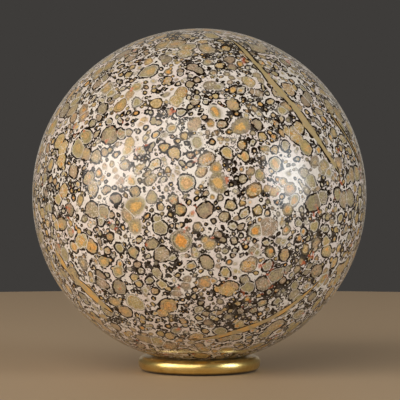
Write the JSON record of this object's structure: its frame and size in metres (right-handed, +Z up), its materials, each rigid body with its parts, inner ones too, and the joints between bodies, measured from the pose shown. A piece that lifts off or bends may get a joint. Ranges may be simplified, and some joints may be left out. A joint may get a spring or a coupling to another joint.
{
  "type": "decorative stone sphere on a ring stand",
  "caption": "Polished sphere of leopard-spotted jasper resting on a low rounded brass ring stand.",
  "frame": {"origin": "middle of the ring stand's underside, on the surface it stands on", "axes": "+Z up through the middle of the ring and the sphere; -Y towards the side seen in the picture"},
  "size_m": [0.1, 0.1, 0.1025],
  "materials": {
    "polished_stone": "polished",
    "satin_brass": "satin"
  },
  "bodies": {
    "root": {"stone_sphere": "polished_stone", "brass_ring": "satin_brass"}
  },
  "joints": []
}
